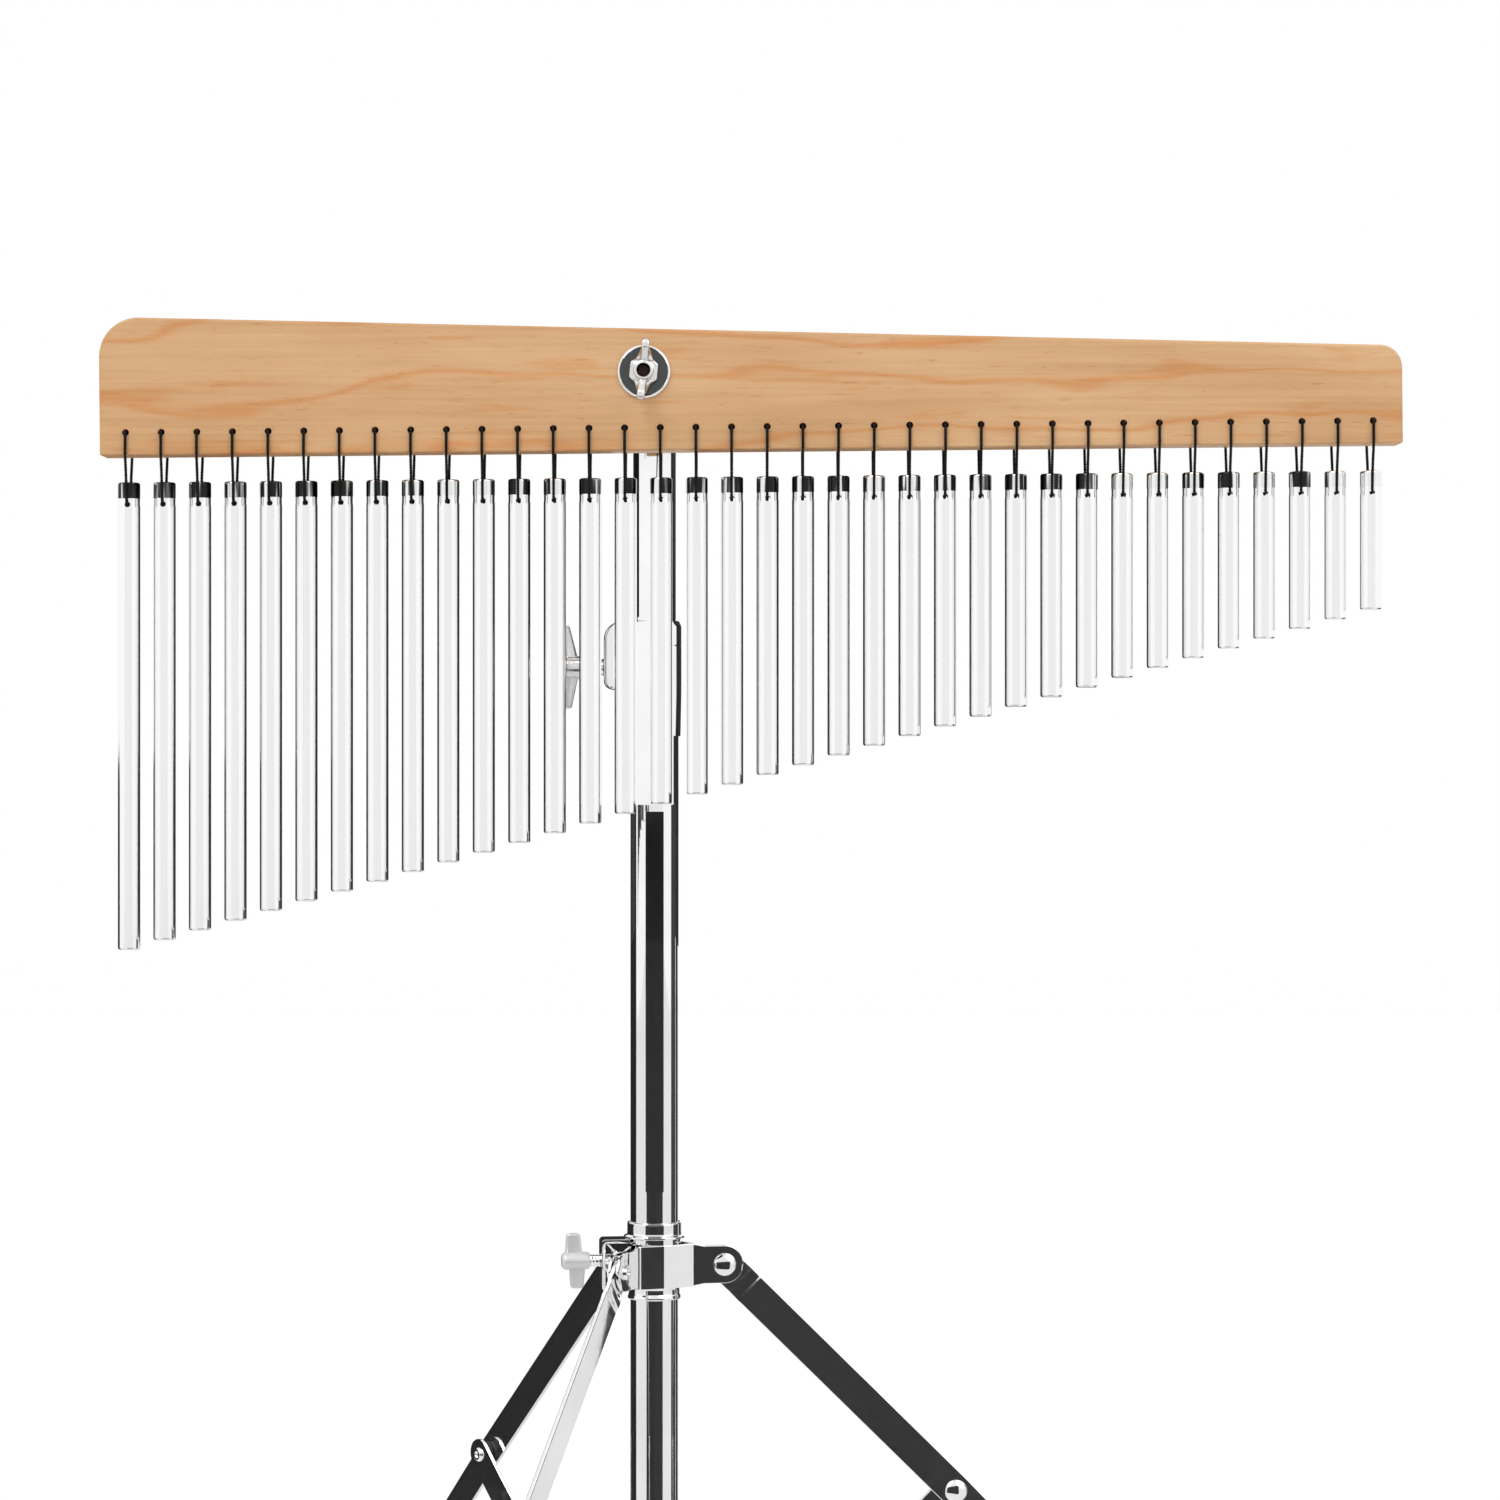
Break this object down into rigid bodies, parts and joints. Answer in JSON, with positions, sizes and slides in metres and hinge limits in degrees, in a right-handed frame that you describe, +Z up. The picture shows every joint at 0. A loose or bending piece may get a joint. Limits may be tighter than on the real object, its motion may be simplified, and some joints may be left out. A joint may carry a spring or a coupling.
{
  "type": "sound tree",
  "caption": "Sound tree: round metal bars of falling length hang on a laced cord below a tapered wooden beam, on a folding tripod stand of adjustable height.",
  "frame": {"origin": "centre of the bounding box in plan, on the floor plane under the rubber feet", "axes": "+Z up along the stand's tube, +X along the beam towards the short bars, -Y towards the player"},
  "size_m": [0.5854, 0.5448, 0.7192],
  "materials": {
    "beam_wood": "clear satin lacquer",
    "bar_metal": "polished",
    "stand_chrome": "bright chrome plate on steel",
    "cord": "twisted black cord",
    "foot_rubber": "matt black",
    "bushing_nylon": "matt black"
  },
  "bodies": {
    "stand": {"main_tube": "stand_chrome", "lower_collar": "stand_chrome", "height_collar": "stand_chrome", "collar_bushing": "bushing_nylon"},
    "hub": {"leg_hub": "stand_chrome", "clamp_strip": "stand_chrome"},
    "leg_right": {"leg_right": "stand_chrome", "foot_right": "foot_rubber"},
    "leg_rear": {"leg_rear": "stand_chrome", "foot_rear": "foot_rubber"},
    "leg_front": {"leg_front": "stand_chrome", "foot_front": "foot_rubber"},
    "brace_right": {"brace_right": "stand_chrome"},
    "brace_rear": {"brace_rear": "stand_chrome"},
    "brace_front": {"brace_front": "stand_chrome"},
    "upper_tube": {"upper_tube": "stand_chrome", "beam_bracket": "stand_chrome", "beam_bolt": "stand_chrome"},
    "beam": {"beam": "beam_wood", "beam_washer": "stand_chrome", "hanging_cord": "cord"},
    "beam_wing_nut": {"beam_wing_nut": "stand_chrome"},
    "height_wing_bolt": {"height_wing_bolt": "stand_chrome"},
    "hub_wing_bolt": {"hub_wing_bolt": "stand_chrome"},
    "bar_01": {"bar_01": "bar_metal"},
    "bar_02": {"bar_02": "bar_metal"},
    "bar_03": {"bar_03": "bar_metal"},
    "bar_04": {"bar_04": "bar_metal"},
    "bar_05": {"bar_05": "bar_metal"},
    "bar_06": {"bar_06": "bar_metal"},
    "bar_07": {"bar_07": "bar_metal"},
    "bar_08": {"bar_08": "bar_metal"},
    "bar_09": {"bar_09": "bar_metal"},
    "bar_10": {"bar_10": "bar_metal"},
    "bar_11": {"bar_11": "bar_metal"},
    "bar_12": {"bar_12": "bar_metal"},
    "bar_13": {"bar_13": "bar_metal"},
    "bar_14": {"bar_14": "bar_metal"},
    "bar_15": {"bar_15": "bar_metal"},
    "bar_16": {"bar_16": "bar_metal"},
    "bar_17": {"bar_17": "bar_metal"},
    "bar_18": {"bar_18": "bar_metal"},
    "bar_19": {"bar_19": "bar_metal"},
    "bar_20": {"bar_20": "bar_metal"},
    "bar_21": {"bar_21": "bar_metal"},
    "bar_22": {"bar_22": "bar_metal"},
    "bar_23": {"bar_23": "bar_metal"},
    "bar_24": {"bar_24": "bar_metal"},
    "bar_25": {"bar_25": "bar_metal"},
    "bar_26": {"bar_26": "bar_metal"},
    "bar_27": {"bar_27": "bar_metal"},
    "bar_28": {"bar_28": "bar_metal"},
    "bar_29": {"bar_29": "bar_metal"},
    "bar_30": {"bar_30": "bar_metal"},
    "bar_31": {"bar_31": "bar_metal"},
    "bar_32": {"bar_32": "bar_metal"},
    "bar_33": {"bar_33": "bar_metal"},
    "bar_34": {"bar_34": "bar_metal"},
    "bar_35": {"bar_35": "bar_metal"},
    "bar_36": {"bar_36": "bar_metal"}
  },
  "joints": [
    {"name": "hub_slide", "type": "slide", "parent": "stand", "child": "hub", "axis": [0, 0, 1], "range_m": [0, 0.0891]},
    {"name": "leg_right_fold", "type": "hinge", "parent": "hub", "child": "leg_right", "pos_m": [-0.01234, 0.02048, 0.2898], "axis": [-0.1323, 0.9912, 0], "range_deg": [0, 41.5]},
    {"name": "leg_rear_fold", "type": "hinge", "parent": "hub", "child": "leg_rear", "pos_m": [-0.06132, 0.04573, 0.2898], "axis": [-0.7923, -0.6101, 0], "range_deg": [0, 41.5]},
    {"name": "leg_front_fold", "type": "hinge", "parent": "hub", "child": "leg_front", "pos_m": [-0.05869, -0.00932, 0.2898], "axis": [0.9245, -0.3811, 0], "range_deg": [0, 41.5]},
    {"name": "brace_right_fold", "type": "hinge", "parent": "stand", "child": "brace_right", "pos_m": [-0.01234, 0.02048, 0.07639], "axis": [-0.1323, 0.9912, 0], "range_deg": [-41.5, 0]},
    {"name": "brace_rear_fold", "type": "hinge", "parent": "stand", "child": "brace_rear", "pos_m": [-0.06132, 0.04573, 0.07639], "axis": [-0.7923, -0.6101, 0], "range_deg": [-41.5, 0]},
    {"name": "brace_front_fold", "type": "hinge", "parent": "stand", "child": "brace_front", "pos_m": [-0.05869, -0.00932, 0.07639], "axis": [0.9245, -0.3811, 0], "range_deg": [-41.5, 0]},
    {"name": "height_slide", "type": "slide", "parent": "stand", "child": "upper_tube", "axis": [0, 0, 1], "range_m": [-0.06, 0.15]},
    {"name": "beam_tilt", "type": "hinge", "parent": "upper_tube", "child": "beam", "pos_m": [-0.04801, -0.00704, 0.69489], "axis": [0, 1, 0], "range_deg": [-15, 15]},
    {"name": "beam_nut_turn", "type": "hinge", "parent": "upper_tube", "child": "beam_wing_nut", "pos_m": [-0.04801, -0.00704, 0.69489], "axis": [0, 1, 0], "continuous": true},
    {"name": "height_bolt_turn", "type": "hinge", "parent": "stand", "child": "height_wing_bolt", "pos_m": [-0.07911, 0.01896, 0.56299], "axis": [1, 0, 0], "continuous": true},
    {"name": "hub_bolt_turn", "type": "hinge", "parent": "hub", "child": "hub_wing_bolt", "pos_m": [-0.07881, 0.01433, 0.292], "axis": [-0.9912, -0.1323, 0], "continuous": true},
    {"name": "bar_01_swing", "type": "hinge", "parent": "beam", "child": "bar_01", "pos_m": [-0.28045, -0.00704, 0.65736], "axis": [1, 0, 0], "range_deg": [-30, 30], "deforming": ["hanging_cord"]},
    {"name": "bar_02_swing", "type": "hinge", "parent": "beam", "child": "bar_02", "pos_m": [-0.26445, -0.00704, 0.65751], "axis": [1, 0, 0], "range_deg": [-30, 30], "deforming": ["hanging_cord"]},
    {"name": "bar_03_swing", "type": "hinge", "parent": "beam", "child": "bar_03", "pos_m": [-0.24845, -0.00704, 0.65766], "axis": [1, 0, 0], "range_deg": [-30, 30], "deforming": ["hanging_cord"]},
    {"name": "bar_04_swing", "type": "hinge", "parent": "beam", "child": "bar_04", "pos_m": [-0.23245, -0.00704, 0.65782], "axis": [1, 0, 0], "range_deg": [-30, 30], "deforming": ["hanging_cord"]},
    {"name": "bar_05_swing", "type": "hinge", "parent": "beam", "child": "bar_05", "pos_m": [-0.21645, -0.00704, 0.65797], "axis": [1, 0, 0], "range_deg": [-30, 30], "deforming": ["hanging_cord"]},
    {"name": "bar_06_swing", "type": "hinge", "parent": "beam", "child": "bar_06", "pos_m": [-0.20045, -0.00704, 0.65812], "axis": [1, 0, 0], "range_deg": [-30, 30], "deforming": ["hanging_cord"]},
    {"name": "bar_07_swing", "type": "hinge", "parent": "beam", "child": "bar_07", "pos_m": [-0.18446, -0.00704, 0.65828], "axis": [1, 0, 0], "range_deg": [-30, 30], "deforming": ["hanging_cord"]},
    {"name": "bar_08_swing", "type": "hinge", "parent": "beam", "child": "bar_08", "pos_m": [-0.16846, -0.00704, 0.65843], "axis": [1, 0, 0], "range_deg": [-30, 30], "deforming": ["hanging_cord"]},
    {"name": "bar_09_swing", "type": "hinge", "parent": "beam", "child": "bar_09", "pos_m": [-0.15246, -0.00704, 0.65858], "axis": [1, 0, 0], "range_deg": [-30, 30], "deforming": ["hanging_cord"]},
    {"name": "bar_10_swing", "type": "hinge", "parent": "beam", "child": "bar_10", "pos_m": [-0.13646, -0.00704, 0.65874], "axis": [1, 0, 0], "range_deg": [-30, 30], "deforming": ["hanging_cord"]},
    {"name": "bar_11_swing", "type": "hinge", "parent": "beam", "child": "bar_11", "pos_m": [-0.12046, -0.00704, 0.65889], "axis": [1, 0, 0], "range_deg": [-30, 30], "deforming": ["hanging_cord"]},
    {"name": "bar_12_swing", "type": "hinge", "parent": "beam", "child": "bar_12", "pos_m": [-0.10446, -0.00704, 0.65904], "axis": [1, 0, 0], "range_deg": [-30, 30], "deforming": ["hanging_cord"]},
    {"name": "bar_13_swing", "type": "hinge", "parent": "beam", "child": "bar_13", "pos_m": [-0.08846, -0.00704, 0.6592], "axis": [1, 0, 0], "range_deg": [-30, 1.2], "deforming": ["hanging_cord"]},
    {"name": "bar_14_swing", "type": "hinge", "parent": "beam", "child": "bar_14", "pos_m": [-0.07246, -0.00704, 0.65935], "axis": [1, 0, 0], "range_deg": [-30, 1.2], "deforming": ["hanging_cord"]},
    {"name": "bar_15_swing", "type": "hinge", "parent": "beam", "child": "bar_15", "pos_m": [-0.05646, -0.00704, 0.65951], "axis": [1, 0, 0], "range_deg": [-30, 2.8], "deforming": ["hanging_cord"]},
    {"name": "bar_16_swing", "type": "hinge", "parent": "beam", "child": "bar_16", "pos_m": [-0.04046, -0.00704, 0.65966], "axis": [1, 0, 0], "range_deg": [-30, 2.8], "deforming": ["hanging_cord"]},
    {"name": "bar_17_swing", "type": "hinge", "parent": "beam", "child": "bar_17", "pos_m": [-0.02446, -0.00704, 0.65981], "axis": [1, 0, 0], "range_deg": [-30, 2.8], "deforming": ["hanging_cord"]},
    {"name": "bar_18_swing", "type": "hinge", "parent": "beam", "child": "bar_18", "pos_m": [-0.00846, -0.00704, 0.65997], "axis": [1, 0, 0], "range_deg": [-30, 2.8], "deforming": ["hanging_cord"]},
    {"name": "bar_19_swing", "type": "hinge", "parent": "beam", "child": "bar_19", "pos_m": [0.00754, -0.00704, 0.66012], "axis": [1, 0, 0], "range_deg": [-30, 30], "deforming": ["hanging_cord"]},
    {"name": "bar_20_swing", "type": "hinge", "parent": "beam", "child": "bar_20", "pos_m": [0.02354, -0.00704, 0.66027], "axis": [1, 0, 0], "range_deg": [-30, 30], "deforming": ["hanging_cord"]},
    {"name": "bar_21_swing", "type": "hinge", "parent": "beam", "child": "bar_21", "pos_m": [0.03953, -0.00704, 0.66043], "axis": [1, 0, 0], "range_deg": [-30, 30], "deforming": ["hanging_cord"]},
    {"name": "bar_22_swing", "type": "hinge", "parent": "beam", "child": "bar_22", "pos_m": [0.05553, -0.00704, 0.66058], "axis": [1, 0, 0], "range_deg": [-30, 30], "deforming": ["hanging_cord"]},
    {"name": "bar_23_swing", "type": "hinge", "parent": "beam", "child": "bar_23", "pos_m": [0.07153, -0.00704, 0.66073], "axis": [1, 0, 0], "range_deg": [-30, 30], "deforming": ["hanging_cord"]},
    {"name": "bar_24_swing", "type": "hinge", "parent": "beam", "child": "bar_24", "pos_m": [0.08753, -0.00704, 0.66089], "axis": [1, 0, 0], "range_deg": [-30, 30], "deforming": ["hanging_cord"]},
    {"name": "bar_25_swing", "type": "hinge", "parent": "beam", "child": "bar_25", "pos_m": [0.10353, -0.00704, 0.66104], "axis": [1, 0, 0], "range_deg": [-30, 30], "deforming": ["hanging_cord"]},
    {"name": "bar_26_swing", "type": "hinge", "parent": "beam", "child": "bar_26", "pos_m": [0.11953, -0.00704, 0.66119], "axis": [1, 0, 0], "range_deg": [-30, 30], "deforming": ["hanging_cord"]},
    {"name": "bar_27_swing", "type": "hinge", "parent": "beam", "child": "bar_27", "pos_m": [0.13553, -0.00704, 0.66135], "axis": [1, 0, 0], "range_deg": [-30, 30], "deforming": ["hanging_cord"]},
    {"name": "bar_28_swing", "type": "hinge", "parent": "beam", "child": "bar_28", "pos_m": [0.15153, -0.00704, 0.6615], "axis": [1, 0, 0], "range_deg": [-30, 30], "deforming": ["hanging_cord"]},
    {"name": "bar_29_swing", "type": "hinge", "parent": "beam", "child": "bar_29", "pos_m": [0.16753, -0.00704, 0.66166], "axis": [1, 0, 0], "range_deg": [-30, 30], "deforming": ["hanging_cord"]},
    {"name": "bar_30_swing", "type": "hinge", "parent": "beam", "child": "bar_30", "pos_m": [0.18353, -0.00704, 0.66181], "axis": [1, 0, 0], "range_deg": [-30, 30], "deforming": ["hanging_cord"]},
    {"name": "bar_31_swing", "type": "hinge", "parent": "beam", "child": "bar_31", "pos_m": [0.19953, -0.00704, 0.66196], "axis": [1, 0, 0], "range_deg": [-30, 30], "deforming": ["hanging_cord"]},
    {"name": "bar_32_swing", "type": "hinge", "parent": "beam", "child": "bar_32", "pos_m": [0.21553, -0.00704, 0.66212], "axis": [1, 0, 0], "range_deg": [-30, 30], "deforming": ["hanging_cord"]},
    {"name": "bar_33_swing", "type": "hinge", "parent": "beam", "child": "bar_33", "pos_m": [0.23153, -0.00704, 0.66227], "axis": [1, 0, 0], "range_deg": [-30, 30], "deforming": ["hanging_cord"]},
    {"name": "bar_34_swing", "type": "hinge", "parent": "beam", "child": "bar_34", "pos_m": [0.24752, -0.00704, 0.66242], "axis": [1, 0, 0], "range_deg": [-30, 30], "deforming": ["hanging_cord"]},
    {"name": "bar_35_swing", "type": "hinge", "parent": "beam", "child": "bar_35", "pos_m": [0.26352, -0.00704, 0.66258], "axis": [1, 0, 0], "range_deg": [-30, 30], "deforming": ["hanging_cord"]},
    {"name": "bar_36_swing", "type": "hinge", "parent": "beam", "child": "bar_36", "pos_m": [0.27952, -0.00704, 0.66273], "axis": [1, 0, 0], "range_deg": [-30, 30], "deforming": ["hanging_cord"]}
  ],
  "couplings": [
    {"joint": "leg_right_fold", "follows": "hub_slide", "rad_per_m": 8.0806},
    {"joint": "leg_rear_fold", "follows": "hub_slide", "rad_per_m": 8.0806},
    {"joint": "leg_front_fold", "follows": "hub_slide", "rad_per_m": 8.0806},
    {"joint": "brace_right_fold", "follows": "hub_slide", "rad_per_m": -8.0806},
    {"joint": "brace_rear_fold", "follows": "hub_slide", "rad_per_m": -8.0806},
    {"joint": "brace_front_fold", "follows": "hub_slide", "rad_per_m": -8.0806}
  ]
}
